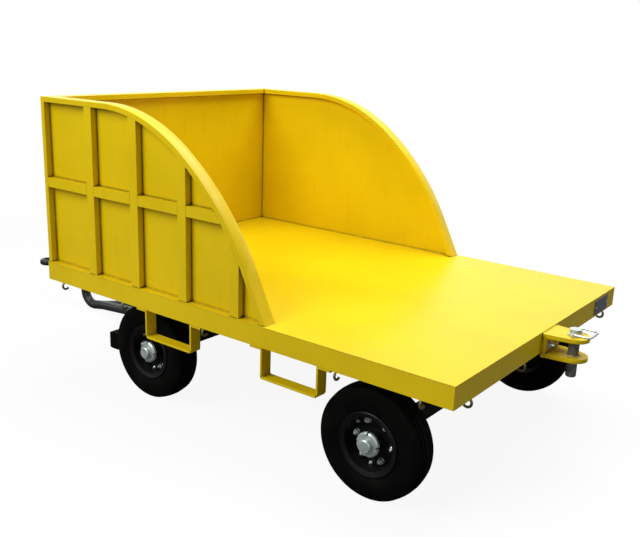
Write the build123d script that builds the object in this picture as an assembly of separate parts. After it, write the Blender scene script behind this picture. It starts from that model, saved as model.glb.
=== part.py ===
from build123d import *
import os
from math import asin, atan2, cos, hypot, radians, sin, sqrt, tan

# Four-wheel airport baggage trailer with a half-open load space.
# Millimetres. +X forwards (to the tow eye), +Y left, +Z up, the ground at Z = 0.
# The origin is under the middle of the whole length, tow eye to hitch handle.

# Deck and skirt
DECK_LENGTH = 2000.0
DECK_WIDTH = 1400.0
DECK_HEIGHT = 530.0
DECK_PLATE = 4.0
SKIRT_HEIGHT = 80.0
CHANNEL_FLANGE = 40.0
CHANNEL_WALL = 4.0
BEAM_OFFSET = 180.0
BEAM_WIDTH = 40.0
CROSS_WIDTH = 40.0
CROSS_HEIGHT = 60.0
CROSS_SETBACKS = (350.0, 654.0, 1100.0, 1550.0)

# Walls: bows of bent bar round the edge, ribs and rails outside, plain sheet inside
WALL_HEIGHT = 705.0
WALL_INSET = 5.0
BOW_FACE = 22.0
BOW_DEPTH = 56.0
RIB_FACE = 45.0
RIB_DEPTH = 29.0
FIRST_RIB = 328.0
RIB_SPACING = 265.0
RIB_COUNT = 4
HEAD_RIB_COUNT = 4
SHEET = 2.0
RAIL_FACE = 40.0
RAIL_HEIGHT = 350.0
ARCH_START = 393.0
# Bends of the arch from its straight top to its straight foot
ARCH_BENDS = (  # radius, sweep in degrees
    (730.0, 35.0),
    (1110.0, 28.0),
)

# Wheels
TYRE_RADIUS = 206.0
TYRE_WIDTH = 112.0
TREAD_CROWN = 6.0
SHOULDER_INSET = 15.0
FLANK_DROP = 22.0
FLANK_INSET = 3.0
SWELL_DROP = 8.0
RIM_RADIUS = 116.0
RIM_WIDTH = 104.0
RIM_WALL = 7.0
RIM_LIP = 6.0
RIM_EDGE = 3.0
BEAD_RADIUS = 103.7
BEAD_INSET = 8.0
TYRE_SEAT_GAP = 0.3
TYRE_LIP_GAP = 1.0
DISC_FACE = 1.0
DISC_THICKNESS = 8.0
DISC_RADIUS = 88.0
HUB_RADIUS = 36.0
HUB_FLANGE_RADIUS = 86.0
HUB_FLANGE = 8.0
HUB_RING_RADIUS = 44.0
HUB_RING = 14.0
HUB_EDGE = 5.0
HUB_INNER = 46.0
HUB_OUTER = 53.0
SPINDLE_RADIUS = 17.5
RUNNING_GAP = 0.05
END_GAP = 0.4
NOTCH_WIDTH = 8.0
NOTCH_REACH = 8.0
NOTCH_COUNT = 4

# Axles
AXLE_BAR = 50.0
FRONT_SETBACK = 502.0
REAR_OVERHANG = 330.0
FRONT_TYRE_INSET = 110.0
REAR_TYRE_INSET = 42.0
CAP_RADIUS = 24.0
CAP_LENGTH = 17.0
CAP_CHAMFER = 3.0
STAND_PLATE = 12.0
STAND_TOP = 240.0
STAND_FOOT_WIDTH = 90.0
STAND_RIB = 80.0
FRONT_STAND_SPREAD = 280.0

# Turntable
RACE_OUTER = 220.0
RACE_INNER = 170.0
RACE_FLANGE = 12.0
RACE_LIP = 8.0
RACE_RING = 16.0
RACE_GAP = 0.4
BOLSTER_LENGTH = 300.0
BOLSTER_WIDTH = 420.0
BOLSTER_PLATE = 10.0

# Drawbar: two straight legs, one goose neck and the tow eye
TUBE_RADIUS = 24.15
HINGE_AHEAD = 82.0
HINGE_SPREAD = 420.0
SLEEVE_RADIUS = 26.0
SLEEVE_LENGTH = 70.0
HINGE_PIN_RADIUS = 12.0
HINGE_GAP = 0.1
EAR_GAP = 0.3
EAR_PLATE = 10.0
PIN_HEAD_RADIUS = 17.0
PIN_HEAD = 6.0
NECK_BEND = 70.0
NECK_RISE = 169.0
NECK_FOOT = 627.0
NECK_TAIL = 70.0
EYE_REACH = 1088.0
EYE_RADIUS = 45.0
EYE_BORE = 22.0
EYE_THICKNESS = 32.0
EYE_SHANK = 75.0
EYE_NECK_RADIUS = 14.0
EYE_TAPER = 35.0
EYE_ROUND = 13.0

# Tyre brake: a block before each front tyre on an arm from the axle
BRAKE_ARM = 10.0
BRAKE_ARM_HEIGHT = 45.0
BRAKE_TYRE_GAP = 6.0
BLOCK_LENGTH = 58.0
BLOCK_WIDTH = 88.0
BLOCK_HEIGHT = 75.0
BLOCK_AHEAD = 277.0
BLOCK_CENTRE = 187.0
BLOCK_ROUND = 8.0

# Rear hitch
JAW_WIDTH = 130.0
JAW_PLATE = 16.0
JAW_TOP_DROP = 5.0
JAW_HEIGHT = 89.0
JAW_NOSE = 52.0
JAW_BACK = 16.0
PIN_BEHIND = 95.0
PIN_RADIUS = 19.0
PIN_HOLE_GAP = 1.0
PIN_BELOW = 65.0
COLLAR_RADIUS = 25.0
COLLAR = 6.0
HEAD_WIDTH = 40.0
HEAD = 18.0
WIRE_RADIUS = 4.0
WIRE_GAP = 0.3
HANDLE_LENGTH = 68.0
HANDLE_WIDTH = 90.0
HANDLE_BEND = 18.0

# Steps and hooks under the skirt, a blank plate on the rear skirt
STEP_WIDTH = 258.0
STEP_DEPTH = 117.0
STEP_FOOT = 50.0
STEP_STRIP = 8.0
STEP_BREADTH = 50.0
STEP_BEND = 14.0
STEP_AHEAD = 308.0
STEP_SPACING = 605.0
STEP_COUNT = 2
HOOK_BAR = 4.5
HOOK_BEND = 15.5
HOOK_DROP = 14.0
HOOK_HEEL_ANGLE = 78.0
HOOK_TIP_ANGLE = -135.0
HOOK_INSET = 8.0
HOOK_FRONT_SETBACK = 99.0
HOOK_BEFORE_STEP = 266.0
HOOK_BEHIND_STEP = 191.0
HOOK_REAR_SETBACKS = (440.0, 114.0)
REAR_HOOK_INSET = 115.0
REAR_HOOK_COUNT = 4
PLATE_WIDTH = 142.0
PLATE_HEIGHT = 60.0
PLATE_THICKNESS = 3.0
PLATE_INSET = 159.0
PLATE_DROP = 12.0

# Places that follow from the sizes
HANDLE_REACH = HANDLE_LENGTH + WIRE_RADIUS
DECK_FRONT = (DECK_LENGTH + PIN_BEHIND + HANDLE_REACH - EYE_REACH) / 2
DECK_REAR = DECK_FRONT - DECK_LENGTH
HALF_WIDTH = DECK_WIDTH / 2
DECK_UNDER = DECK_HEIGHT - DECK_PLATE
SKIRT_BOTTOM = DECK_HEIGHT - SKIRT_HEIGHT
FRONT_AXLE = DECK_FRONT - FRONT_SETBACK
REAR_AXLE = DECK_REAR + REAR_OVERHANG
FRONT_TRACK = DECK_WIDTH - 2 * FRONT_TYRE_INSET - TYRE_WIDTH
REAR_TRACK = DECK_WIDTH - 2 * REAR_TYRE_INSET - TYRE_WIDTH
AXLE_HEIGHT = TYRE_RADIUS
AXLE_TOP = AXLE_HEIGHT + AXLE_BAR / 2
RACE_BOTTOM = SKIRT_BOTTOM - 2 * RACE_FLANGE - RACE_RING - 2 * RACE_GAP
BOLSTER_BOTTOM = RACE_BOTTOM - BOLSTER_PLATE


def box(x0, x1, y0, y1, z0, z1):
    return Pos((x0 + x1) / 2, (y0 + y1) / 2, (z0 + z1) / 2) * Box(x1 - x0, y1 - y0, z1 - z0)


def pillar(x, y, z0, z1, radius):
    return Pos(x, y, (z0 + z1) / 2) * Cylinder(radius, z1 - z0)


def cross_bar(x, y0, y1, z, radius):
    return Pos(x, (y0 + y1) / 2, z) * Rot(90, 0, 0) * Cylinder(radius, y1 - y0)


def turned(points):
    """Solid of revolution about the Y axis from (radius, y) points."""
    return revolve(make_face(Polyline(*points, close=True)), Axis.Y)


def ring(x, z0, z1, inner, outer):
    return pillar(x, 0, z0, z1, outer) - pillar(x, 0, z0, z1, inner)


def other_side(shape):
    return mirror(shape, about=Plane.XZ)


def save(name, *solids):
    shape = solids[0] if len(solids) == 1 else Compound(children=list(solids))
    export_step(shape, f"parts/{name}.step")


# Frame and deck


def skirt_channel(length):
    """Channel with mitred ends along +X from the origin, its open side to +Y."""
    z0, z1 = SKIRT_BOTTOM, DECK_UNDER
    web = box(0, length, 0, CHANNEL_WALL, z0, z1)
    low = box(0, length, 0, CHANNEL_FLANGE, z0, z0 + CHANNEL_WALL)
    high = box(0, length, 0, CHANNEL_FLANGE, z1 - CHANNEL_WALL, z1)
    plan = Polyline(
        (0, 0),
        (length, 0),
        (length - CHANNEL_FLANGE, CHANNEL_FLANGE),
        (CHANNEL_FLANGE, CHANNEL_FLANGE),
        close=True,
    )
    mitre = Pos(0, 0, z0) * extrude(make_face(plan), z1 - z0)
    return (web + low + high) & mitre


def make_frame():
    save("deck_plate", box(DECK_REAR, DECK_FRONT, -HALF_WIDTH, HALF_WIDTH, DECK_UNDER, DECK_HEIGHT))
    skirts = (  # name, length, corner x, corner y, turn
        ("side_channel_left", DECK_LENGTH, DECK_FRONT, HALF_WIDTH, 180),
        ("side_channel_right", DECK_LENGTH, DECK_REAR, -HALF_WIDTH, 0),
        ("end_channel_front", DECK_WIDTH, DECK_FRONT, -HALF_WIDTH, 90),
        ("end_channel_rear", DECK_WIDTH, DECK_REAR, HALF_WIDTH, -90),
    )
    for name, length, x, y, turn in skirts:
        save(name, Pos(x, y, 0) * Rot(0, 0, turn) * skirt_channel(length))

    beam_in = BEAM_OFFSET - BEAM_WIDTH / 2
    beam_out = BEAM_OFFSET + BEAM_WIDTH / 2
    tail, nose = DECK_REAR + CHANNEL_FLANGE, DECK_FRONT - CHANNEL_FLANGE
    beam = box(tail, nose, beam_in, beam_out, SKIRT_BOTTOM, DECK_UNDER)
    bore = box(
        tail,
        nose,
        beam_in + CHANNEL_WALL,
        beam_out - CHANNEL_WALL,
        SKIRT_BOTTOM + CHANNEL_WALL,
        DECK_UNDER - CHANNEL_WALL,
    )
    beam = beam - bore
    save("main_beams", beam, other_side(beam))

    members = []
    for setback in CROSS_SETBACKS:
        x0 = DECK_FRONT - setback - CROSS_WIDTH / 2
        x1 = x0 + CROSS_WIDTH
        z0 = DECK_UNDER - CROSS_HEIGHT
        outer = box(x0, x1, beam_out, HALF_WIDTH - CHANNEL_FLANGE, z0, DECK_UNDER)
        members.append(box(x0, x1, -beam_in, beam_in, z0, DECK_UNDER))
        members.append(outer)
        members.append(other_side(outer))
    save("cross_members", *members)


# Walls


def side_outline(inset):
    """Side panel outline, moved in by inset from the front, the top and the arch."""
    x0 = DECK_FRONT - inset
    top = DECK_HEIGHT + WALL_HEIGHT - inset
    arch = DECK_FRONT - ARCH_START
    edges = [Line((x0, DECK_HEIGHT), (x0, top)), Line((x0, top), (arch, top))]
    turn = 0.0
    centre = None
    last = (arch, top)
    for radius, sweep in ARCH_BENDS:
        if centre is None:
            centre = (arch, DECK_HEIGHT + WALL_HEIGHT - radius)
        else:
            shift = past_radius - radius
            centre = (centre[0] - shift * sin(turn), centre[1] + shift * cos(turn))
        bend = radius - inset
        middle = turn + radians(sweep) / 2
        turn = turn + radians(sweep)
        half = (centre[0] - bend * sin(middle), centre[1] + bend * cos(middle))
        end = (centre[0] - bend * sin(turn), centre[1] + bend * cos(turn))
        edges.append(ThreePointArc(last, half, end))
        last = end
        past_radius = radius
    foot = (last[0] - (last[1] - DECK_HEIGHT) / tan(turn), DECK_HEIGHT)
    edges.append(Line(last, foot))
    edges.append(Line(foot, (x0, DECK_HEIGHT)))
    return make_face(edges)


def side_slab(inset, depth0, depth1):
    """The outline as a slab between two depths from the left wall's outer face."""
    slab = extrude(Plane.XZ * side_outline(inset), depth1 - depth0)
    return Pos(0, HALF_WIDTH - WALL_INSET - depth0, 0) * slab


def make_side_walls():
    bow = side_slab(0, 0, BOW_DEPTH) - side_slab(BOW_FACE, 0, BOW_DEPTH)
    sheet = side_slab(BOW_FACE, RIB_DEPTH, RIB_DEPTH + SHEET)
    bay = side_slab(BOW_FACE, 0, RIB_DEPTH)
    face = HALF_WIDTH - WALL_INSET
    back = face - RIB_DEPTH
    rail_low = DECK_HEIGHT + RAIL_HEIGHT - RAIL_FACE / 2
    ribs = []
    rails = []
    rail_front = DECK_FRONT - BOW_FACE
    for number in range(RIB_COUNT):
        rear = DECK_FRONT - FIRST_RIB - number * RIB_SPACING
        rib = box(rear, rear + RIB_FACE, back, face, DECK_HEIGHT, DECK_HEIGHT + WALL_HEIGHT)
        rail = box(rear + RIB_FACE, rail_front, back, face, rail_low, rail_low + RAIL_FACE)
        ribs.append((rib & bay).solid())
        rails.append((rail & bay).solid())
        rail_front = rear
    for side, placed in (("left", lambda shape: shape), ("right", other_side)):
        save(f"side_bow_{side}", placed(bow))
        save(f"side_sheet_{side}", placed(sheet))
        save(f"side_ribs_{side}", *[placed(rib) for rib in ribs])
        save(f"side_rails_{side}", *[placed(rail) for rail in rails])


def make_headboard():
    half_span = HALF_WIDTH - WALL_INSET - BOW_DEPTH
    top = DECK_HEIGHT + WALL_HEIGHT
    face, back = DECK_FRONT, DECK_FRONT - RIB_DEPTH
    save("headboard_top_bar", box(DECK_FRONT - BOW_DEPTH, face, -half_span, half_span, top - BOW_FACE, top))
    sheet_half = HALF_WIDTH - WALL_INSET - RIB_DEPTH - SHEET
    save("headboard_sheet", box(back - SHEET, back, -sheet_half, sheet_half, DECK_HEIGHT, top - BOW_FACE))
    rail_low = DECK_HEIGHT + RAIL_HEIGHT - RAIL_FACE / 2
    spacing = 2 * half_span / (HEAD_RIB_COUNT + 1)
    ribs = []
    rails = []
    rail_start = -half_span
    for number in range(1, HEAD_RIB_COUNT + 2):
        middle = -half_span + number * spacing
        last = number > HEAD_RIB_COUNT
        rail_end = half_span if last else middle - RIB_FACE / 2
        rails.append(box(back, face, rail_start, rail_end, rail_low, rail_low + RAIL_FACE))
        rail_start = middle + RIB_FACE / 2
        if not last:
            ribs.append(box(back, face, rail_end, rail_start, DECK_HEIGHT, top - BOW_FACE))
    save("headboard_ribs", *ribs)
    save("headboard_rails", *rails)


# Wheels and axles


def tyre():
    bead = RIM_WIDTH / 2 - BEAD_INSET
    lip = bead + TYRE_LIP_GAP
    seat = BEAD_RADIUS + TYRE_SEAT_GAP
    flank = RIM_RADIUS + TYRE_LIP_GAP
    half = TYRE_WIDTH / 2
    shoulder = (TYRE_RADIUS - TREAD_CROWN, half - SHOULDER_INSET)
    swell = ((flank + TYRE_RADIUS) / 2 - SWELL_DROP, half)
    upper = (TYRE_RADIUS - FLANK_DROP, half - FLANK_INSET)
    edges = [
        Line((seat, -bead), (seat, bead)),
        Line((seat, bead), (flank, lip)),
        ThreePointArc((flank, lip), swell, upper),
        Line(upper, shoulder),
        ThreePointArc(shoulder, (TYRE_RADIUS, 0), (shoulder[0], -shoulder[1])),
        Line((shoulder[0], -shoulder[1]), (upper[0], -upper[1])),
        ThreePointArc((upper[0], -upper[1]), (swell[0], -swell[1]), (flank, -lip)),
        Line((flank, -lip), (seat, -bead)),
    ]
    return revolve(make_face(edges), Axis.Y)


def rim():
    edge = RIM_WIDTH / 2
    outer = edge - RIM_EDGE
    inner = edge - RIM_LIP
    seat = inner - TYRE_LIP_GAP
    well = BEAD_RADIUS - RIM_WALL
    crest = RIM_RADIUS - RIM_EDGE
    disc_back = DISC_FACE - DISC_THICKNESS
    hole = HUB_RING_RADIUS + END_GAP
    return turned(
        (
            (hole, disc_back),
            (hole, DISC_FACE),
            (DISC_RADIUS, DISC_FACE),
            (well, inner),
            (crest, edge),
            (RIM_RADIUS, outer),
            (RIM_RADIUS, inner),
            (BEAD_RADIUS, seat),
            (BEAD_RADIUS, -seat),
            (RIM_RADIUS, -inner),
            (RIM_RADIUS, -outer),
            (crest, -edge),
            (well, -inner),
            (well - RIM_EDGE, disc_back),
        )
    )


def hub():
    """Flanged hub with a spigot in the rim's hole and a notched ring at its outer end."""
    bore = SPINDLE_RADIUS + RUNNING_GAP
    front = DISC_FACE - DISC_THICKNESS
    ring_back = HUB_OUTER - HUB_RING
    body = turned(
        (
            (bore, -HUB_INNER),
            (HUB_RADIUS, -HUB_INNER),
            (HUB_RADIUS, front - HUB_FLANGE),
            (HUB_FLANGE_RADIUS, front - HUB_FLANGE),
            (HUB_FLANGE_RADIUS, front),
            (HUB_RING_RADIUS, front),
            (HUB_RING_RADIUS, DISC_FACE),
            (HUB_RADIUS, DISC_FACE),
            (HUB_RADIUS, ring_back),
            (HUB_RING_RADIUS, ring_back),
            (HUB_RING_RADIUS, HUB_OUTER - HUB_EDGE),
            (HUB_RING_RADIUS - HUB_EDGE, HUB_OUTER),
            (bore, HUB_OUTER),
        )
    )
    half = NOTCH_WIDTH / 2
    notch = box(HUB_RING_RADIUS - NOTCH_REACH, HUB_RING_RADIUS, ring_back, HUB_OUTER, -half, half)
    for number in range(NOTCH_COUNT):
        body = body - Rot(0, number * 360 / NOTCH_COUNT, 0) * notch
    return body


def make_wheels():
    pieces = (("tyre", tyre()), ("rim", rim()), ("hub", hub()))
    places = (  # name, axle x, track, turn
        ("front_left", FRONT_AXLE, FRONT_TRACK / 2, 0),
        ("front_right", FRONT_AXLE, -FRONT_TRACK / 2, 180),
        ("rear_left", REAR_AXLE, REAR_TRACK / 2, 0),
        ("rear_right", REAR_AXLE, -REAR_TRACK / 2, 180),
    )
    for place, x, y, turn in places:
        for piece, solid in pieces:
            save(f"{piece}_{place}", Pos(x, y, AXLE_HEIGHT) * Rot(0, 0, turn) * solid)


def axle(x, track):
    """Square bar with a round spindle at each end."""
    shoulder = track / 2 - HUB_INNER - END_GAP
    tip = track / 2 + HUB_OUTER + END_GAP
    half = AXLE_BAR / 2
    bar = box(x - half, x + half, -shoulder, shoulder, AXLE_HEIGHT - half, AXLE_HEIGHT + half)
    return bar + cross_bar(x, -tip, tip, AXLE_HEIGHT, SPINDLE_RADIUS)


def axle_cap(x, track):
    """Round cap that holds the hub, seated on the left spindle's end face."""
    seat = track / 2 + HUB_OUTER + END_GAP
    cap = extrude(Circle(CAP_RADIUS), CAP_LENGTH)
    cap = chamfer(cap.edges().sort_by(Axis.Z)[-1], CAP_CHAMFER)
    return Pos(x, seat, AXLE_HEIGHT) * Rot(-90, 0, 0) * cap


def stand(x, y, z0, z1):
    """Tapered plate with a cross rib, from an axle up to what it carries."""
    outline = Polyline(
        (x - STAND_FOOT_WIDTH / 2, z0),
        (x + STAND_FOOT_WIDTH / 2, z0),
        (x + STAND_TOP / 2, z1),
        (x - STAND_TOP / 2, z1),
        close=True,
    )
    plate = extrude(Plane.XZ * make_face(outline), STAND_PLATE)
    plate = Pos(0, y + STAND_PLATE / 2, 0) * plate
    rib = box(x - STAND_PLATE / 2, x + STAND_PLATE / 2, y - STAND_RIB / 2, y + STAND_RIB / 2, z0, z1)
    return plate + rib


def make_rear_axle():
    save("rear_axle", axle(REAR_AXLE, REAR_TRACK))
    post = stand(REAR_AXLE, BEAM_OFFSET, AXLE_TOP, SKIRT_BOTTOM)
    save("rear_axle_stands", post, other_side(post))
    cap = axle_cap(REAR_AXLE, REAR_TRACK)
    save("rear_axle_caps", cap, other_side(cap))


def make_front_axle():
    save("front_axle", axle(FRONT_AXLE, FRONT_TRACK))
    cap = axle_cap(FRONT_AXLE, FRONT_TRACK)
    save("front_axle_caps", cap, other_side(cap))
    post = stand(FRONT_AXLE, FRONT_STAND_SPREAD / 2, AXLE_TOP, BOLSTER_BOTTOM)
    save("front_axle_stands", post, other_side(post))
    bolster = box(
        FRONT_AXLE - BOLSTER_LENGTH / 2,
        FRONT_AXLE + BOLSTER_LENGTH / 2,
        -BOLSTER_WIDTH / 2,
        BOLSTER_WIDTH / 2,
        BOLSTER_BOTTOM,
        RACE_BOTTOM,
    )
    save("bolster_plate", bolster)


def make_turntable():
    lip_top = SKIRT_BOTTOM - RACE_FLANGE
    lip_bottom = lip_top - RACE_RING
    lip_inner = RACE_OUTER - RACE_LIP
    upper = ring(FRONT_AXLE, lip_top, SKIRT_BOTTOM, RACE_INNER, RACE_OUTER)
    upper = upper + ring(FRONT_AXLE, lip_bottom, lip_top, lip_inner, RACE_OUTER)
    save("turntable_upper_race", upper)
    flange_top = RACE_BOTTOM + RACE_FLANGE
    lower = ring(FRONT_AXLE, RACE_BOTTOM, flange_top, RACE_INNER, RACE_OUTER)
    lower = lower + ring(FRONT_AXLE, flange_top, lip_top - RACE_GAP, RACE_INNER, lip_inner - RACE_GAP)
    save("turntable_lower_race", lower)


def make_brake():
    tyre_inner = FRONT_TRACK / 2 - TYRE_WIDTH / 2
    arm_out = tyre_inner - BRAKE_TYRE_GAP
    tip = FRONT_AXLE + BLOCK_AHEAD
    arm_low = BLOCK_CENTRE - BRAKE_ARM_HEIGHT / 2
    arm = box(FRONT_AXLE + AXLE_BAR / 2, tip, arm_out - BRAKE_ARM, arm_out, arm_low, arm_low + BRAKE_ARM_HEIGHT)
    block = box(
        tip - BLOCK_LENGTH,
        tip,
        arm_out,
        arm_out + BLOCK_WIDTH,
        BLOCK_CENTRE - BLOCK_HEIGHT / 2,
        BLOCK_CENTRE + BLOCK_HEIGHT / 2,
    )
    block = fillet(block.edges().filter_by(Axis.Y), BLOCK_ROUND)
    save("brake_arms", arm, other_side(arm))
    save("brake_blocks", block, other_side(block))


# Drawbar


def make_drawbar():
    hinge_x = FRONT_AXLE + HINGE_AHEAD
    hinge_y = HINGE_SPREAD / 2
    hinge = (hinge_x, AXLE_HEIGHT)
    low = TUBE_RADIUS
    centre = (DECK_FRONT + NECK_FOOT, low + NECK_BEND)
    # The legs slope down on the tangent from the hinge line to the neck's lower bend.
    run, drop = centre[0] - hinge[0], hinge[1] - centre[1]
    slope = atan2(drop, run) + asin(NECK_BEND / hypot(run, drop))
    touch = (centre[0] - NECK_BEND * sin(slope), centre[1] - NECK_BEND * cos(slope))
    tail = (touch[0] - NECK_TAIL * cos(slope), touch[1] + NECK_TAIL * sin(slope))
    upright = centre[0] + NECK_BEND
    top = low + NECK_RISE
    knee = (upright, top - NECK_BEND)
    over = (upright + NECK_BEND, top)
    eye_x = DECK_FRONT + EYE_REACH - EYE_RADIUS
    tube_end = eye_x - EYE_SHANK
    half_turn = (radians(90) - slope) / 2
    low_mid = (centre[0] + NECK_BEND * sin(half_turn), centre[1] - NECK_BEND * cos(half_turn))
    high_mid = (over[0] - NECK_BEND * cos(radians(45)), knee[1] + NECK_BEND * sin(radians(45)))

    path = Wire(
        [
            Line((tail[0], 0, tail[1]), (touch[0], 0, touch[1])),
            ThreePointArc((touch[0], 0, touch[1]), (low_mid[0], 0, low_mid[1]), (upright, 0, centre[1])),
            Line((upright, 0, centre[1]), (knee[0], 0, knee[1])),
            ThreePointArc((knee[0], 0, knee[1]), (high_mid[0], 0, high_mid[1]), (over[0], 0, over[1])),
            Line((over[0], 0, over[1]), (tube_end, 0, top)),
        ]
    )
    section = Plane(origin=path @ 0, z_dir=path % 0) * Circle(TUBE_RADIUS)
    neck = sweep(section, path)
    save("drawbar_neck", neck)

    heel = Vector(hinge_x, hinge_y, AXLE_HEIGHT)
    joint = Vector(tail[0], 0, tail[1])
    along = (joint - heel).normalized()
    length = (joint - heel).length + TUBE_RADIUS
    leg = extrude(Plane(origin=heel, z_dir=along) * Circle(TUBE_RADIUS), length)
    sleeve_half = SLEEVE_LENGTH / 2
    leg = leg + cross_bar(hinge_x, hinge_y - sleeve_half, hinge_y + sleeve_half, AXLE_HEIGHT, SLEEVE_RADIUS)
    leg = leg - cross_bar(hinge_x, 0, HINGE_SPREAD, AXLE_HEIGHT, HINGE_PIN_RADIUS + HINGE_GAP)
    reach = box(hinge_x - HINGE_AHEAD, tube_end, 0, HINGE_SPREAD, 0, DECK_HEIGHT)
    leg = (leg & reach) - neck
    leg = leg.solids().sort_by(SortBy.VOLUME)[-1]
    save("drawbar_leg_left", leg)
    save("drawbar_leg_right", other_side(leg))

    taper = Pos(tube_end + EYE_TAPER / 2, 0, top) * Rot(0, 90, 0) * Cone(TUBE_RADIUS, EYE_NECK_RADIUS, EYE_TAPER)
    shank_mid = (tube_end + EYE_TAPER + eye_x) / 2
    shank = Pos(shank_mid, 0, top) * Rot(0, 90, 0) * Cylinder(EYE_NECK_RADIUS, EYE_SHANK - EYE_TAPER)
    eye = taper + shank
    disc = pillar(eye_x, 0, top - EYE_THICKNESS / 2, top + EYE_THICKNESS / 2, EYE_RADIUS)
    eye = eye + fillet(disc.edges().filter_by(GeomType.CIRCLE), EYE_ROUND)
    eye = eye - pillar(eye_x, 0, top - EYE_THICKNESS, top + EYE_THICKNESS, EYE_BORE)
    save("tow_eye", eye)

    ears = []
    pins = []
    face = FRONT_AXLE + AXLE_BAR / 2
    inner = sleeve_half + EAR_GAP
    for side in (-1, 1):
        near = hinge_y + side * inner
        far = near + side * EAR_PLATE
        y0, y1 = min(near, far), max(near, far)
        ear = box(face, hinge_x, y0, y1, AXLE_HEIGHT - SLEEVE_RADIUS, AXLE_HEIGHT + SLEEVE_RADIUS)
        ear = ear + cross_bar(hinge_x, y0, y1, AXLE_HEIGHT, SLEEVE_RADIUS)
        ear = ear - cross_bar(hinge_x, y0 - 1, y1 + 1, AXLE_HEIGHT, HINGE_PIN_RADIUS + RUNNING_GAP)
        ears.extend((ear, other_side(ear)))
    half_pin = inner + EAR_PLATE
    pin = cross_bar(hinge_x, hinge_y - half_pin, hinge_y + half_pin, AXLE_HEIGHT, HINGE_PIN_RADIUS)
    for side in (-1, 1):
        start = hinge_y + side * half_pin
        y0, y1 = min(start, start + side * PIN_HEAD), max(start, start + side * PIN_HEAD)
        pin = pin + cross_bar(hinge_x, y0, y1, AXLE_HEIGHT, PIN_HEAD_RADIUS)
    pins.extend((pin, other_side(pin)))
    save("drawbar_ears", *ears)
    save("hinge_pins", *pins)


# Rear hitch


def make_hitch():
    pin_x = DECK_REAR - PIN_BEHIND
    jaw_top = DECK_HEIGHT - JAW_TOP_DROP
    jaw_bottom = jaw_top - JAW_HEIGHT
    half = JAW_WIDTH / 2
    nose = Pos(pin_x, 0) * Circle(JAW_NOSE)
    base = Line((DECK_REAR, -half), (DECK_REAR, half))
    outline = make_hull(nose.edges() + ShapeList([base.edge()]))
    hole = Pos(pin_x, 0) * Circle(PIN_RADIUS + PIN_HOLE_GAP)
    blank = extrude(outline - hole, JAW_PLATE)
    save("hitch_plates", Pos(0, 0, jaw_top - JAW_PLATE) * blank, Pos(0, 0, jaw_bottom) * blank)
    back = box(DECK_REAR - JAW_BACK, DECK_REAR, -half, half, jaw_bottom + JAW_PLATE, jaw_top - JAW_PLATE)
    save("hitch_back", back)

    head_low = jaw_top + COLLAR
    wire_z = head_low + HEAD / 2
    pin = pillar(pin_x, 0, jaw_bottom - PIN_BELOW, jaw_top, PIN_RADIUS)
    pin = chamfer(pin.edges().sort_by(Axis.Z)[0], CAP_CHAMFER)
    pin = pin + pillar(pin_x, 0, jaw_top, head_low, COLLAR_RADIUS)
    pin = pin + Pos(pin_x, 0, head_low) * extrude(RegularPolygon(HEAD_WIDTH / 2, 6, major_radius=False), HEAD)
    pin = pin - cross_bar(pin_x, -COLLAR_RADIUS, COLLAR_RADIUS, wire_z, WIRE_RADIUS + WIRE_GAP)
    save("hitch_pin", pin)

    # The handle is a bent wire loop through the head. It lies level behind the pin.
    loop = Pos(pin_x - HANDLE_LENGTH / 2, 0, wire_z) * RectangleRounded(HANDLE_LENGTH, HANDLE_WIDTH, HANDLE_BEND)
    path = loop.wire()
    section = Plane(origin=path @ 0, z_dir=path % 0) * Circle(WIRE_RADIUS)
    save("hitch_pin_handle", sweep(section, path))


# Steps, hooks and plate


def step():
    """Flat bar bent to a U with out-turned feet, its feet's top faces at Z = 0."""
    outer = STEP_WIDTH / 2
    inner = outer - STEP_STRIP
    foot = outer + STEP_FOOT
    outline = make_face(
        Polyline(
            (-foot, 0),
            (-inner, 0),
            (-inner, STEP_STRIP - STEP_DEPTH),
            (inner, STEP_STRIP - STEP_DEPTH),
            (inner, 0),
            (foot, 0),
            (foot, -STEP_STRIP),
            (outer, -STEP_STRIP),
            (outer, -STEP_DEPTH),
            (-outer, -STEP_DEPTH),
            (-outer, -STEP_STRIP),
            (-foot, -STEP_STRIP),
            close=True,
        )
    )
    low = outline.vertices().group_by(Axis.Y)[0]
    outline = fillet(low, STEP_BEND)
    bend = outline.vertices().filter_by(lambda v: abs(v.Y - (STEP_STRIP - STEP_DEPTH)) < 0.01)
    outline = fillet(bend, STEP_BEND - STEP_STRIP)
    return extrude(Plane.XZ * outline, STEP_BREADTH)


def hook():
    """Round bar bent to a C in the XZ plane. It hangs from Z = 0, bulges to +X and its tip is to -X."""
    back = sqrt(HOOK_BEND**2 - HOOK_DROP**2)
    angles = (HOOK_HEEL_ANGLE, (HOOK_HEEL_ANGLE + HOOK_TIP_ANGLE) / 2, HOOK_TIP_ANGLE)
    points = []
    for angle in angles:
        turn = radians(angle)
        points.append((HOOK_BEND * cos(turn) - back, 0, HOOK_BEND * sin(turn) - HOOK_DROP))
    path = ThreePointArc(*points)
    bar = sweep(Plane(origin=path @ 0, z_dir=path % 0) * Circle(HOOK_BAR), path)
    reach = 2 * HOOK_BEND
    return bar - box(-reach, reach, -reach, reach, 0, reach)


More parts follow.
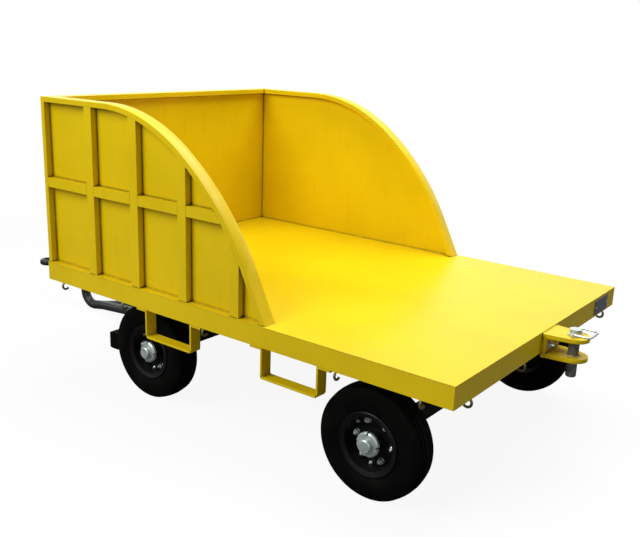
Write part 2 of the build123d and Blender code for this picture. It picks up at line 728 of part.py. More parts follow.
def make_steps_and_hooks():
    front_step = REAR_AXLE + STEP_AHEAD + (STEP_COUNT - 1) * STEP_SPACING
    steps = []
    for number in range(STEP_COUNT):
        steps.append(Pos(front_step - number * STEP_SPACING, HALF_WIDTH, SKIRT_BOTTOM) * step())
    save("side_steps_left", *steps)
    save("side_steps_right", *[other_side(piece) for piece in steps])
    line = HALF_WIDTH - HOOK_INSET
    places = [DECK_FRONT - HOOK_FRONT_SETBACK, front_step + HOOK_BEFORE_STEP, front_step - HOOK_BEHIND_STEP]
    places += [DECK_REAR + setback for setback in HOOK_REAR_SETBACKS]
    hooks = [Pos(x, line, SKIRT_BOTTOM) * Rot(0, 0, 90) * hook() for x in places]
    save("side_hooks_left", *hooks)
    save("side_hooks_right", *[other_side(piece) for piece in hooks])
    half_span = HALF_WIDTH - REAR_HOOK_INSET
    spacing = 2 * half_span / (REAR_HOOK_COUNT - 1)
    rear_hook = Pos(DECK_REAR + HOOK_INSET, -half_span, SKIRT_BOTTOM) * Rot(0, 0, 180) * hook()
    save("rear_hooks", *[Pos(0, number * spacing, 0) * rear_hook for number in range(REAR_HOOK_COUNT)])


def make_plate():
    top = DECK_HEIGHT - PLATE_DROP
    y0 = PLATE_INSET - HALF_WIDTH - PLATE_WIDTH / 2
    x0 = DECK_REAR - PLATE_THICKNESS
    save("rear_plate", box(x0, DECK_REAR, y0, y0 + PLATE_WIDTH, top - PLATE_HEIGHT, top))


os.makedirs("parts", exist_ok=True)
make_frame()
make_side_walls()
make_headboard()
make_wheels()
make_rear_axle()
make_front_axle()
make_turntable()
make_brake()
make_drawbar()
make_hitch()
make_steps_and_hooks()
make_plate()
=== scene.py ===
from math import cos, pi, radians, sin

import bmesh
import bpy
from mathutils import Matrix, Vector


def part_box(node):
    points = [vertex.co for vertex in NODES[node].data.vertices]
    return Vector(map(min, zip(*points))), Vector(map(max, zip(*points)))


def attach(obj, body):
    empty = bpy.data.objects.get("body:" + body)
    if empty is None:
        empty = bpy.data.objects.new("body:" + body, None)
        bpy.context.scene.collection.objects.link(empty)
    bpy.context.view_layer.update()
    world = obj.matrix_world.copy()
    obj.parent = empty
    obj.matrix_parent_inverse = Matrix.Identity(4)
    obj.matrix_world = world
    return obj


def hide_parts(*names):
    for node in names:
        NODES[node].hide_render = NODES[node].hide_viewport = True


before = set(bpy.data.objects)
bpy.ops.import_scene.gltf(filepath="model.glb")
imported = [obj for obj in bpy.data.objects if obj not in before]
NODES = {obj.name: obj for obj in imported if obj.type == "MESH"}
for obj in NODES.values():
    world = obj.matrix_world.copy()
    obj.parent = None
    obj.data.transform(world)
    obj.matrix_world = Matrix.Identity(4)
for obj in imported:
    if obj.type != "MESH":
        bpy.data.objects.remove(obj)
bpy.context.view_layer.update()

# Sizes in metres and turns in degrees. DISC_FACE and HUB_RING are sizes of the rim and hub solids.
WHEELS = (  # place, outward direction along Y
    ("front_left", 1.0),
    ("front_right", -1.0),
    ("rear_left", 1.0),
    ("rear_right", -1.0),
)
SIDES = (("left", 1.0), ("right", -1.0))
DISC_FACE = 0.001
HUB_RING = 0.014
RING_LAP = 0.0005

# Rounded edges and smooth shading
EDGE = 0.0016
PLATE_EDGE = 0.0008
EDGE_STEPS = 2
EDGE_ANGLE = 40.0
MERGE = 0.00002
SMOOTH_ANGLE = 35.0
TYRE_SMOOTH = 28.0
WELD_SMOOTH = 60.0

# Fittings: rings of radius and height above the seat, with the low and high ends of hexagons
CHAMFER = 0.0012
CHAMFER_SLOPE = 1.4
NUT_CIRCLE = 0.074
NUT_TURNS = (54, 114, 174, 234, 294, 354)
NUT_WIDTH = 0.019
NUT_WASHER = ((0.0125, 0.0), (0.0125, 0.0016), (0.0118, 0.0022))
NUT_HEIGHTS = (0.0022, 0.0125)
NUT_STUD = ((0.0058, 0.0125), (0.0058, 0.0180), (0.0046, 0.0192))
BOLT_CIRCLE = 0.086
BOLT_TURNS = (24, 144, 264)
BOLT_TWIST = 0.3  # radians
BOLT_WIDTH = 0.013
BOLT_HEIGHTS = (-0.004, 0.0085)
BOLT_END = ((0.0038, 0.0085), (0.0038, 0.0118), (0.0030, 0.0124))
VALVE = ((0.0045, 0.0), (0.0042, 0.012), (0.0030, 0.013), (0.0030, 0.019), (0.0026, 0.020))
VALVE_SEAT = (0.094, 0.0, 0.020)
VALVE_LEAN = (-0.35, 0.0, 0.94)
RIVET = ((0.0042, -0.0005), (0.0042, 0.0004), (0.0030, 0.0016), (0.0012, 0.0020))
RIVET_INSET = 0.009
FRAME_NUT_WIDTH = 0.018
JAW_WASHER = ((0.0130, -0.0005), (0.0130, 0.0020), (0.0124, 0.0026))
JAW_HEIGHTS = (0.0026, 0.0110)
JAW_STUD = ((0.0058, 0.0110), (0.0058, 0.0200), (0.0046, 0.0214))
JAW_SPREAD = 0.036
RACE_WASHER = ((0.0120, -0.0005), (0.0120, 0.0020), (0.0114, 0.0026))
RACE_HEIGHTS = (0.0026, 0.0115)
RACE_INSETS = (0.02, 0.06)  # along X, along Y

# Weld beads: size, ripple, and how far each run stops short of its corners
WELD_RADIUS = 0.0028
WELD_WAVE = 0.006
WELD_STEPS = 8
WELD_DIP = 0.82
WELD_TIP = 0.45
BOARD_SHORT = 0.004
SHEET_SHORT = 0.01
ARCH_SHORT = 0.03
BOW_SHORT = 0.003
JAW_SHORT = 0.004
BACK_SHORT = 0.002

# Tyre: rings of the sidewall, then bands across the tread
SIDEWALL = (  # radius, across as a share of half the width
    (0.1045, 0.76),
    (0.1170, 0.80),
    (0.1205, 0.855),
    (0.1235, 0.875),
    (0.1260, 0.870),
    (0.1285, 0.905),
    (0.1310, 0.925),
    (0.1335, 0.917),
    (0.1400, 0.962),
    (0.1500, 0.990),
    (0.1620, 0.993),
    (0.1740, 0.975),
    (0.1850, 0.935),
    (0.1890, 0.915),
    (0.1900, 0.895),
    (0.1925, 0.880),
    (0.1965, 0.835),
    (0.2000, 0.755),
)
TREAD_BANDS = (0.036, 0.0335, 0.0330, 0.0275, 0.0270, 0.0160, 0.0155, 0.0105, 0.0100)
GROOVE_EDGES = (0.0330, 0.0275, 0.0155, 0.0105)
TREAD_STEPS = 240
TREAD_SLOTS = 60
TREAD_CROWN = 0.006
TREAD_SHOULDER = 0.041
TREAD_REACH = 0.0365
TREAD_LOW = 0.0062
GROOVE_DEPTH = 0.005
SLOT_DEPTH = 0.0035
SLOT_REACH = 0.0260
SAME = 0.0001

# Stage. The floor is near white to the camera, dull to bounced light and dark in reflections.
FLOOR_REACH = 30.0
FLOOR_PALE = (0.86, 0.86, 0.86, 1.0)
FLOOR_DULL = (0.36, 0.36, 0.36, 1.0)
FLOOR_DARK = (0.12, 0.12, 0.12, 1.0)
FLOOR_GLOW = 0.92
FLOOR_FADE = (1.5, 5.0)
WHITE = (1.0, 1.0, 1.0, 1.0)
SKY_FILL = 0.12
SKY_GLOSS = 1.0
SKY_SEEN = 0.88
LAMPS = (  # name, place, target, size, watts
    ("key", (1.2, 4.2, 4.2), (0.0, 0.0, 0.6), 3.5, 242),
    ("top", (-0.8, -1.2, 4.5), (-0.5, -0.2, 0.5), 4.0, 262),
)
CAMERA_PLACE = (-2.479, 2.729, 1.498)
CAMERA_TURNS = (74.42, -1.968, -142.36)
CAMERA_LENS = 46.12
SENSOR_WIDTH = 36.0

# Colours, linear
YELLOW = (0.755, 0.54, 0.003)
BLACK_PAINT = (0.006, 0.0065, 0.006)
GREY_PAINT = (0.020, 0.023, 0.024)
HOOK_STEEL = (0.17, 0.155, 0.06)
RUBBER = (0.0022, 0.0027, 0.0020)
ZINC = (0.54, 0.61, 0.58)
STEEL = (0.15, 0.15, 0.14)
PLATE_GREY = (0.14, 0.15, 0.19)

# Dull plating scatters part of its light, so it isn't fully metallic
PLATING = 0.45

# Bump depths, and how far painted shade reaches out from corners and from seams between parts (corner shade
# also roughens, like grime)
PEEL_DEPTH = 0.00035
PLATING_DEPTH = 0.0001
RUBBER_DEPTH = 0.00015
CORNER_REACH = 0.03
SEAM_SHADOW_REACH = 0.014
PLATED_SHADE_REACH = 0.01

# Where one finish gives way to the next: at the pin's head, at its rubbed ring, at the hub's ring
HEAD_BLUR = 0.0005
RING_LOW = (-0.006, -0.002)
RING_HIGH = (0.001, 0.004)
HUB_BLUR = 0.0002


class Wire:
    """An output socket in a shader tree. Arithmetic on it adds Math nodes."""

    def __init__(self, graph, socket):
        self.graph = graph
        self.socket = socket

    def math(self, operation, first, second):
        node = self.graph.node("Math", {"operation": operation}, first, second)
        return node["Value"]

    def __add__(self, other):
        return self.math("ADD", self, other)

    def __radd__(self, other):
        return self.math("ADD", other, self)

    def __sub__(self, other):
        return self.math("SUBTRACT", self, other)

    def __rsub__(self, other):
        return self.math("SUBTRACT", other, self)

    def __mul__(self, other):
        return self.math("MULTIPLY", self, other)

    def __rmul__(self, other):
        return self.math("MULTIPLY", other, self)

    def most(self, other):
        return self.math("MAXIMUM", self, other)

    def above(self, low, high):
        """0 below low, 1 above high, smooth between."""
        settings = {"interpolation_type": "SMOOTHSTEP"}
        node = self.graph.node("MapRange", settings, Value=self, **{"From Min": low, "From Max": high})
        return node["Result"]


class Made:
    """A node whose outputs come back as wires by name."""

    def __init__(self, graph, node):
        self.graph = graph
        self.node = node

    def __getitem__(self, name):
        return Wire(self.graph, self.node.outputs[name])


class Graph:
    """Builds one shader tree."""

    def __init__(self, tree):
        self.tree = tree
        tree.nodes.clear()

    def feed(self, socket, value):
        if isinstance(value, Wire):
            self.tree.links.new(value.socket, socket)
        else:
            socket.default_value = value

    def node(self, kind, settings=None, *values, **named):
        made = self.tree.nodes.new("ShaderNode" + kind)
        for key, value in (settings or {}).items():
            setattr(made, key, value)
        for socket, value in zip(made.inputs, values):
            self.feed(socket, value)
        for name, value in named.items():
            self.feed(made.inputs[name], value)
        return Made(self, made)

    def mix(self, factor, first, second):
        """Blend of two colours, each a tuple or a wire, by the Mix node's colour sockets."""
        node = self.tree.nodes.new("ShaderNodeMix")
        node.data_type = "RGBA"
        self.feed(node.inputs[0], factor)
        for socket, value in ((node.inputs[6], first), (node.inputs[7], second)):
            self.feed(socket, value if isinstance(value, Wire) else (*value, 1.0))
        return Wire(self, node.outputs[2])

    def noise(self, where, scale, detail=3.0, rough=0.5):
        return self.node("TexNoise", None, Vector=where, Scale=scale, Detail=detail, Roughness=rough)["Fac"]

    def shut_in(self, reach):
        """0 in the open, towards 1 where other surfaces stand within reach."""
        return 1.0 - self.node("AmbientOcclusion", {"samples": 6}, Distance=reach)["AO"]


def shade(colour, factor):
    return tuple(min(1.0, part * factor) for part in colour)


def new_material(name):
    material = bpy.data.materials.new(name)
    material.use_nodes = True
    return material, Graph(material.node_tree)


def close_material(graph, colour, roughness, height, depth, **constants):
    """Principled shader and output, with a bump. Constants go on the shader's own sockets."""
    bump = graph.node("Bump", None, Height=height, Strength=1.0, Distance=depth)
    sockets = {"Base Color": colour, "Roughness": roughness, "Normal": bump["Normal"], **constants}
    shader = graph.node("BsdfPrincipled", None, **sockets)
    graph.node("OutputMaterial", None, Surface=shader["BSDF"])


def paint(name, colour, gloss, dust_and_shade, chip, under, specular=0.15, coat=0.08):
    """Sprayed enamel: orange peel, uneven film, dusty streaks, painted shade in the corners (also rougher
    there, like grime), painted shadow lines along seams, worn spots.
    """
    material, graph = new_material(name)
    where = graph.node("TexCoord")["Object"]
    cloud = graph.noise(where, scale=2.3, detail=4.0)
    drawn_down = graph.node("Mapping", None, Vector=where, Scale=(6.0, 6.0, 1.2))["Vector"]
    streak = graph.noise(drawn_down, scale=5.0, detail=5.0, rough=0.6)
    fleck = graph.noise(where, scale=140.0, rough=0.6)
    # Painted shade: occlusion darkens the colour in corners, and the same mask makes them rougher, like
    # grime.
    shade_and_grime = graph.shut_in(CORNER_REACH).above(0.25, 0.9) * dust_and_shade
    # Painted shadow: thin dark lines in the tight corners where parts meet, broken up by the streaks.
    seam_shadow = graph.shut_in(SEAM_SHADOW_REACH).above(0.20, 0.45) * streak.above(0.30, 0.46) * (1.5 * dust_and_shade)
    tone = graph.mix(cloud.above(0.3, 0.7), shade(colour, 0.94), shade(colour, 1.05))
    tone = graph.mix(streak.above(0.52, 0.75) * (0.35 * dust_and_shade), tone, shade(colour, 0.72))
    # Painted shade in corners, then painted shadow lines along seams.
    tone = graph.mix(shade_and_grime, tone, shade(colour, 0.38))
    tone = graph.mix(seam_shadow, tone, shade(colour, 0.10))
    worn = fleck.above(0.70, 0.74) * cloud.above(0.56, 0.66) * chip
    tone = graph.mix(worn, tone, under)
    rough = gloss + (cloud - 0.5) * 0.12 + shade_and_grime * 0.25 + worn * 0.3
    fine = graph.noise(where, scale=420.0, detail=2.0)
    coarse = graph.noise(where, scale=60.0, detail=2.0)
    peel = fine * 0.6 + coarse * 0.4 - worn * 0.4
    constants = {"Specular IOR Level": specular, "Coat Weight": coat, "Coat Roughness": 0.12}
    close_material(graph, tone, rough, peel, PEEL_DEPTH, **constants)
    return material


def plated(name, colour, rough_base, stain_and_shade):
    """Dull plated steel with a fine grain, and painted shade in the corners, which also makes them rougher,
    like stains.
    """
    material, graph = new_material(name)
    where = graph.node("TexCoord")["Object"]
    cloud = graph.noise(where, scale=28.0, detail=4.0, rough=0.6)
    grain = graph.noise(where, scale=900.0, detail=2.0)
    # Painted shade: occlusion darkens the plating in corners, and the same mask roughens them.
    shade_and_grime = graph.shut_in(PLATED_SHADE_REACH).above(0.2, 0.85) * stain_and_shade
    tone = graph.mix(cloud.above(0.35, 0.7), shade(colour, 0.82), shade(colour, 1.08))
    tone = graph.mix(shade_and_grime, tone, shade(colour, 0.18))
    rough = rough_base + (cloud - 0.5) * 0.25 + shade_and_grime * 0.3
    height = grain * 0.6 + cloud * 0.4
    close_material(graph, tone, rough, height, PLATING_DEPTH, Metallic=PLATING)
    return material


def two_tone_pin(name, shank, head, split, ring):
    """Dark steel pin with a plated head above one height and a rubbed ring at another."""
    material, graph = new_material(name)
    where = graph.node("TexCoord")["Object"]
    height = graph.node("SeparateXYZ", None, where)["Z"]
    cloud = graph.noise(where, scale=40.0, detail=4.0, rough=0.6)
    on_head = height.above(split - HEAD_BLUR, split + HEAD_BLUR)
    from_below = height.above(*(ring + step for step in RING_LOW))
    past_top = height.above(*(ring + step for step in RING_HIGH))
    on_ring = from_below * (1.0 - past_top)
    tone = graph.mix(cloud.above(0.35, 0.7), shade(shank, 0.7), shade(shank, 1.3))
    tone = graph.mix(on_head.most(on_ring * 0.8), tone, head)
    rough = 0.36 + (cloud - 0.5) * 0.2 - on_head * 0.06
    close_material(graph, tone, rough, cloud, PLATING_DEPTH, Metallic=PLATING)
    return material


def ringed_hub(name, ring_back, out):
    """Painted hub whose ring at the outer end is plated. Heights are along the axle, outwards."""
    material, graph = new_material(name)
    where = graph.node("TexCoord")["Object"]
    along = graph.node("SeparateXYZ", None, where)["Y"] * out
    cloud = graph.noise(where, scale=28.0, detail=4.0, rough=0.6)
    bright = along.above(ring_back - HUB_BLUR, ring_back + HUB_BLUR)
    tone = graph.mix(cloud.above(0.35, 0.7), shade(ZINC, 0.82), shade(ZINC, 1.08))
    tone = graph.mix(bright, BLACK_PAINT, tone)
    rough = 0.34 + (cloud - 0.5) * 0.2
    constants = {"Specular IOR Level": 0.2}
    close_material(graph, tone, rough, cloud, PLATING_DEPTH, Metallic=bright * PLATING, **constants)
    return material


def rubber(name, colour, dust_colour):
    """Black rubber with moulding grain and patches of dust."""
    material, graph = new_material(name)
    where = graph.node("TexCoord")["Object"]
    cloud = graph.noise(where, scale=9.0, detail=4.0, rough=0.6)
    grain = graph.noise(where, scale=600.0, rough=0.6)
    tone = graph.mix(cloud.above(0.45, 0.8) * 0.5, colour, dust_colour)
    rough = 0.52 + cloud * 0.2
    close_material(graph, tone, rough, grain, RUBBER_DEPTH, **{"Specular IOR Level": 0.03})
    return material


# In these finishes the strength for dusty streaks also sets the painted shade in corners and the painted
# shadow lines along seams; on plating the corner strength sets painted shade.
yellow = paint("yellow_enamel", YELLOW, gloss=0.33, dust_and_shade=0.55, chip=0.25, under=(0.10, 0.07, 0.03))
black = paint("black_chassis_enamel", BLACK_PAINT, gloss=0.42, dust_and_shade=0.3, chip=0.5, under=(0.10, 0.09, 0.08))
grey = paint("grey_drawbar_enamel", GREY_PAINT, gloss=0.36, dust_and_shade=0.4, chip=0.5, under=(0.16, 0.15, 0.14))
hook_steel = plated("hook_steel", HOOK_STEEL, rough_base=0.36, stain_and_shade=0.8)
rim_black = paint(
    "rim_enamel",
    BLACK_PAINT,
    gloss=0.30,
    dust_and_shade=0.3,
    chip=0.3,
    under=(0.08, 0.08, 0.08),
    specular=0.1,
    coat=0.03,
)
zinc = plated("zinc_plate", ZINC, rough_base=0.22, stain_and_shade=0.8)
pin_base = NODES["hitch_pin"].matrix_world.translation.z
pin_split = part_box("hitch_plates")[1].z - pin_base
pin_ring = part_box("hitch_back")[0].z - pin_base
pin_steel = two_tone_pin("pin_steel", STEEL, ZINC, pin_split, pin_ring)
plate_grey = paint("plate_enamel", PLATE_GREY, gloss=0.45, dust_and_shade=0.4, chip=0.2, under=(0.3, 0.3, 0.3))
tyre_rubber = rubber("tyre_rubber", RUBBER, (0.008, 0.008, 0.007))
block_rubber = rubber("block_rubber", RUBBER, (0.02, 0.018, 0.015))


def dress(node, material, edge):
    """Gives a solid its finish and, unless the edge size is 0, softly rounded edges."""
    piece = NODES[node]
    piece.data.materials.clear()
    piece.data.materials.append(material)
    if edge:
        weld = piece.modifiers.new("weld", "WELD")
        weld.merge_threshold = MERGE
        bevel = piece.modifiers.new("round", "BEVEL")
        bevel.width = edge
        bevel.segments = EDGE_STEPS
        bevel.limit_method = "ANGLE"
        bevel.angle_limit = radians(EDGE_ANGLE)
        bevel.harden_normals = True


FINISHES = (  # material, rounded edge, nodes
    (
        yellow,
        EDGE,
        (
            "deck_plate side_channel_left side_channel_right end_channel_front end_channel_rear "
            "side_bow_left side_bow_right side_ribs_left side_ribs_right side_rails_left side_rails_right "
            "headboard_top_bar headboard_ribs headboard_rails side_steps_left side_steps_right "
            "hitch_plates hitch_back"
        ),
    ),
    (yellow, 0.0, "side_sheet_left side_sheet_right headboard_sheet"),
    (hook_steel, 0.0, "side_hooks_left side_hooks_right rear_hooks"),
    (black, EDGE, "main_beams cross_members front_axle_stands rear_axle_stands bolster_plate brake_arms"),
    (black, 0.0, "turntable_upper_race turntable_lower_race front_axle rear_axle drawbar_ears"),
    (grey, 0.0, "drawbar_neck drawbar_leg_left drawbar_leg_right tow_eye"),
    (pin_steel, 0.0, "hitch_pin"),
    (zinc, 0.0, "hitch_pin_handle hinge_pins front_axle_caps rear_axle_caps"),
    (plate_grey, PLATE_EDGE, "rear_plate"),
    (block_rubber, 0.0, "brake_blocks"),
)
for material, edge, names in FINISHES:
    for node in names.split():
        dress(node, material, edge)
for place, out in WHEELS:
    dress(f"rim_{place}", rim_black, 0.0)
    low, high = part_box(f"hub_{place}")
    face = high.y if out > 0 else low.y
    start = NODES[f"hub_{place}"].matrix_world.translation.y
    ring_back = (face - start) * out - HUB_RING - RING_LAP
    dress(f"hub_{place}", ringed_hub(f"hub_finish_{place}", ring_back, out), 0.0)


# Mesh helpers. Every piece is meshed in the row frame with its object at the origin.


def finish_mesh(name, mesh, material, body, smooth_angle=SMOOTH_ANGLE):
    """Makes a piece of a mesh, with its finish, and puts it on its body."""
    data = bpy.data.meshes.new(name)
    bmesh.ops.recalc_face_normals(mesh, faces=mesh.faces)
    mesh.to_mesh(data)
    mesh.free()
    piece = bpy.data.objects.new(name, data)
    bpy.context.scene.collection.objects.link(piece)
    data.materials.append(material)
    data.polygons.foreach_set("use_smooth", [True] * len(data.polygons))
    data.set_sharp_from_angle(angle=radians(smooth_angle))
    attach(piece, body)
    return piece


def lathe(mesh, rings, steps, place):
    """Turned form about the place matrix's Z axis from (radius, height) rings, closed at both ends."""
    rows = []
    for radius, height in rings:
        row = []
        for step in range(steps):
            turn = 2 * pi * step / steps
            row.append(mesh.verts.new(place @ Vector((radius * cos(turn), radius * sin(turn), height))))
        rows.append(row)
    for low, high in zip(rows, rows[1:]):
        for step in range(steps):
            after = (step + 1) % steps
            mesh.faces.new((low[step], low[after], high[after], high[step]))
    mesh.faces.new(rows[0][::-1])
    mesh.faces.new(rows[-1])


def hexagon(mesh, place, width, low, high):
    """Hexagon head with a chamfered outer end along the place matrix's Z axis."""
    corner = width / 2 / cos(radians(30))
    rings = (
        (corner, low),
        (corner, high - CHAMFER),
        (corner - CHAMFER_SLOPE * CHAMFER, high),
    )
    lathe(mesh, rings, 6, place)


def facing(point, axis):
    """Matrix with its Z axis along axis at a point."""
    spin = Vector((0, 0, 1)).rotation_difference(Vector(axis)).to_matrix().to_4x4()
    return Matrix.Translation(Vector(point)) @ spin


def wheel_frame(place, out):
    """Wheel centre, with local Z along the axle outwards and local Y up."""
    low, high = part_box(f"tyre_{place}")
    centre = (low + high) / 2
    axle = Vector((0, out, 0))
    up = Vector((0, 0, 1))
    across = up.cross(axle)
    turn = Matrix((across, up, axle)).transposed().to_4x4()
    return Matrix.Translation(centre) @ turn


# Tyres: the solid's own outline, with a ribbed road tread and moulded rings on the sidewall

TYRE_R = (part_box("tyre_front_left")[1].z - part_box("tyre_front_left")[0].z) / 2
TYRE_HALF = (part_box("tyre_front_left")[1].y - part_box("tyre_front_left")[0].y) / 2


def tyre_rings():
    """(radius, across) rings from the outer bead over the tread to the inner bead."""
    outer = [(radius, across * TYRE_HALF) for radius, across in SIDEWALL]
    tread = [(TYRE_R - TREAD_CROWN * (across / TREAD_SHOULDER) ** 2, across) for across in TREAD_BANDS]
    half = outer + tread
    return half + [(radius, -across) for radius, across in reversed(half)]


def tread_cut(radius, across, step):
    """How far a point of the tyre lies below the plain tread, in a groove or a slot."""
    reach = abs(across)
    if radius <= TYRE_R - TREAD_LOW or reach >= TREAD_REACH:
        return 0.0
    if any(abs(reach - edge) < SAME for edge in GROOVE_EDGES):
        return GROOVE_DEPTH
    on_slot = step % (TREAD_STEPS // TREAD_SLOTS) == 0
    return SLOT_DEPTH if on_slot and reach > SLOT_REACH else 0.0


def make_tyre(place, out):
    mesh = bmesh.new()
    spot = wheel_frame(place, out)
    rows = []
    for radius, across in tyre_rings():
        row = []
        for step in range(TREAD_STEPS):
            turn = 2 * pi * step / TREAD_STEPS
            depth = tread_cut(radius, across, step)
            point = Vector(((radius - depth) * cos(turn), (radius - depth) * sin(turn), across))
            row.append(mesh.verts.new(spot @ point))
        rows.append(row)
    for low, high in zip(rows, rows[1:] + rows[:1]):
        for step in range(TREAD_STEPS):
            after = (step + 1) % TREAD_STEPS
            mesh.faces.new((low[step], low[after], high[after], high[step]))
    piece = finish_mesh(f"tyre_detail_{place}", mesh, tyre_rubber, f"wheel_{place}", TYRE_SMOOTH)
    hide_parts(f"tyre_{place}")


def disc_seat(spot, circle, degrees_round, twist=0.0):
    """Place on the rim's disc at a turn round a circle, facing outwards."""
    turn = radians(degrees_round)
    seat = spot @ Matrix.Translation((circle * cos(turn), circle * sin(turn), DISC_FACE))
    return seat @ Matrix.Rotation(turn + twist, 4, "Z")


def make_wheel_fasteners(place, out):
    spot = wheel_frame(place, out)
    mesh = bmesh.new()
    for degrees_round in NUT_TURNS:
        seat = disc_seat(spot, NUT_CIRCLE, degrees_round)
        lathe(mesh, NUT_WASHER, steps=28, place=seat)
        hexagon(mesh, seat, NUT_WIDTH, *NUT_HEIGHTS)
        lathe(mesh, NUT_STUD, steps=20, place=seat)
    for degrees_round in BOLT_TURNS:
        seat = disc_seat(spot, BOLT_CIRCLE, degrees_round, BOLT_TWIST)
        hexagon(mesh, seat, BOLT_WIDTH, *BOLT_HEIGHTS)
        lathe(mesh, BOLT_END, steps=16, place=seat)
    finish_mesh(f"wheel_nuts_{place}", mesh, zinc, f"wheel_{place}")

    mesh = bmesh.new()
    lathe(mesh, VALVE, steps=16, place=spot @ facing(VALVE_SEAT, VALVE_LEAN))
    finish_mesh(f"valve_{place}", mesh, block_rubber, f"wheel_{place}")


for place, out in WHEELS:
    make_tyre(place, out)
    make_wheel_fasteners(place, out)


# Weld beads where the sheets, the bows and the jaw meet the frame


def bead(mesh, start, end):
    """Rippled weld run between two points."""
    start, end = Vector(start), Vector(end)
    run = (end - start).length
    waves = max(3, int(run / WELD_WAVE))
    rings = []
    for number in range(waves + 1):
        swell = 1.0 if number % 2 else WELD_DIP
        if number in (0, waves):
            swell = WELD_TIP
        rings.append((WELD_RADIUS * swell, run * number / waves))
    lathe(mesh, rings, WELD_STEPS, facing(start, end - start))


def wall_runs():
    """Along the foot of the headboard, of both side sheets and of both arches."""
    deck_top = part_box("deck_plate")[1].z
    low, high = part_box("headboard_sheet")
    runs = [((low.x, low.y + BOARD_SHORT, deck_top), (low.x, high.y - BOARD_SHORT, deck_top))]
    for side, out in SIDES:
        low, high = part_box(f"side_sheet_{side}")
        inner = low.y if out > 0 else high.y
        outer = high.y if out > 0 else low.y
        runs.append(((low.x + SHEET_SHORT, inner, deck_top), (high.x - SHEET_SHORT, inner, deck_top)))
        runs.append(((low.x + ARCH_SHORT, outer, deck_top), (high.x - SHEET_SHORT, outer, deck_top)))
        low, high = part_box(f"side_bow_{side}")
        runs.append(((low.x, low.y + BOW_SHORT, deck_top), (low.x, high.y - BOW_SHORT, deck_top)))
    return runs


def jaw_runs():
    """Round the rear jaw, on the skirt and between its plates and its back."""
    jaw_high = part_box("hitch_plates")[1]
    low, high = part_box("hitch_back")
    root = jaw_high.x
    half = high.y - JAW_SHORT
    runs = [((root, -half, jaw_high.z), (root, half, jaw_high.z))]
    for side in (-1, 1):
        edge = side * high.y
        runs.append(((root, edge, low.z), (root, edge, high.z)))
        for level in (high.z, low.z):
            runs.append(((low.x + BACK_SHORT, edge, level), (root - BACK_SHORT, edge, level)))
    return runs


def make_welds():
    mesh = bmesh.new()
    for start, end in wall_runs() + jaw_runs():
        bead(mesh, start, end)
    finish_mesh("weld_beads", mesh, yellow, "chassis", WELD_SMOOTH)


make_welds()


# Small fittings: rivets on the blank plate, bolts in the jaw, bolts under the turntable


def make_plate_rivets():
    mesh = bmesh.new()
    low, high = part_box("rear_plate")
    for y in (low.y + RIVET_INSET, high.y - RIVET_INSET):
        spot = facing((low.x, y, (low.z + high.z) / 2), (-1, 0, 0))
        lathe(mesh, RIVET, steps=20, place=spot)
    finish_mesh("plate_rivets", mesh, zinc, "chassis")


def make_jaw_bolts():
    mesh = bmesh.new()
    low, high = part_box("hitch_back")
    for y in (-JAW_SPREAD, JAW_SPREAD):
        spot = facing((low.x, y, (low.z + high.z) / 2), (-1, 0, 0))
        lathe(mesh, JAW_WASHER, steps=24, place=spot)
        hexagon(mesh, spot, FRAME_NUT_WIDTH, *JAW_HEIGHTS)
        lathe(mesh, JAW_STUD, steps=18, place=spot)
    finish_mesh("jaw_bolts", mesh, zinc, "chassis")


def make_race_bolts():
    mesh = bmesh.new()
    low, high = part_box("bolster_plate")
    inset_x, inset_y = RACE_INSETS
    for x in (low.x + inset_x, high.x - inset_x):
        for y in (low.y + inset_y, (low.y + high.y) / 2, high.y - inset_y):
            spot = facing((x, y, low.z), (0, 0, -1))
            lathe(mesh, RACE_WASHER, steps=20, place=spot)
            hexagon(mesh, spot, FRAME_NUT_WIDTH, *RACE_HEIGHTS)
    finish_mesh("race_bolts", mesh, zinc, "front_axle_unit")


make_plate_rivets()
make_jaw_bolts()
make_race_bolts()


# Stage: pale floor, white backdrop, soft lights, the photograph's camera


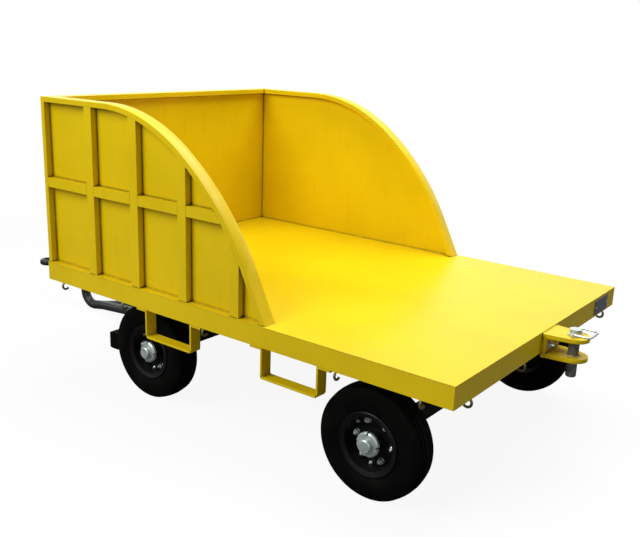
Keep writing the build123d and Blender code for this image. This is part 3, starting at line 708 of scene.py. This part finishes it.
def make_stage():
    data = bpy.data.meshes.new("floor")
    near, far = -FLOOR_REACH, FLOOR_REACH
    corners = [(near, near, 0), (far, near, 0), (far, far, 0), (near, far, 0)]
    data.from_pydata(corners, [], [(0, 1, 2, 3)])
    floor = bpy.data.objects.new("floor", data)
    bpy.context.scene.collection.objects.link(floor)
    material, graph = new_material("floor")
    path = graph.node("LightPath")
    place = graph.node("TexCoord")["Object"]
    away = graph.node("VectorMath", {"operation": "LENGTH"}, place)["Value"]
    dull = graph.node("BsdfDiffuse", None, Color=FLOOR_DULL)["BSDF"]
    pale = graph.node("BsdfDiffuse", None, Color=FLOOR_PALE)["BSDF"]
    white = graph.node("Emission", None, Color=WHITE, Strength=1.0)["Emission"]
    dark = graph.node("BsdfDiffuse", None, Color=FLOOR_DARK)["BSDF"]
    glow = FLOOR_GLOW + (1.0 - FLOOR_GLOW) * away.above(*FLOOR_FADE)
    seen = graph.node("MixShader", None, glow, pale, white)["Shader"]
    bounced = graph.node("MixShader", None, path["Is Glossy Ray"], dull, dark)["Shader"]
    both = graph.node("MixShader", None, path["Is Camera Ray"], bounced, seen)
    graph.node("OutputMaterial", None, Surface=both["Shader"])
    data.materials.append(material)

    world = bpy.data.worlds.new("studio")
    bpy.context.scene.world = world
    world.use_nodes = True
    graph = Graph(world.node_tree)
    path = graph.node("LightPath")
    seen = path["Is Camera Ray"].most(path["Is Transmission Ray"])
    strength = SKY_FILL + path["Is Glossy Ray"] * SKY_GLOSS + seen * SKY_SEEN
    back = graph.node("Background", None, Color=WHITE, Strength=strength)
    graph.node("OutputWorld", None, Surface=back["Background"])


def area_light(name, place, target, size, energy):
    light = bpy.data.lights.new(name, "AREA")
    light.size = size
    light.energy = energy
    lamp = bpy.data.objects.new(name, light)
    bpy.context.scene.collection.objects.link(lamp)
    lamp.location = place
    aim = Vector(target) - Vector(place)
    lamp.rotation_euler = aim.to_track_quat("-Z", "Y").to_euler()


def make_camera():
    data = bpy.data.cameras.new("photo")
    data.sensor_fit = "HORIZONTAL"
    data.sensor_width = SENSOR_WIDTH
    data.lens = CAMERA_LENS
    camera = bpy.data.objects.new("photo", data)
    bpy.context.scene.collection.objects.link(camera)
    camera.location = CAMERA_PLACE
    camera.rotation_euler = [radians(turn) for turn in CAMERA_TURNS]
    bpy.context.scene.camera = camera


make_stage()
for lamp in LAMPS:
    area_light(*lamp)
make_camera()
bpy.context.scene.view_settings.view_transform = "Standard"
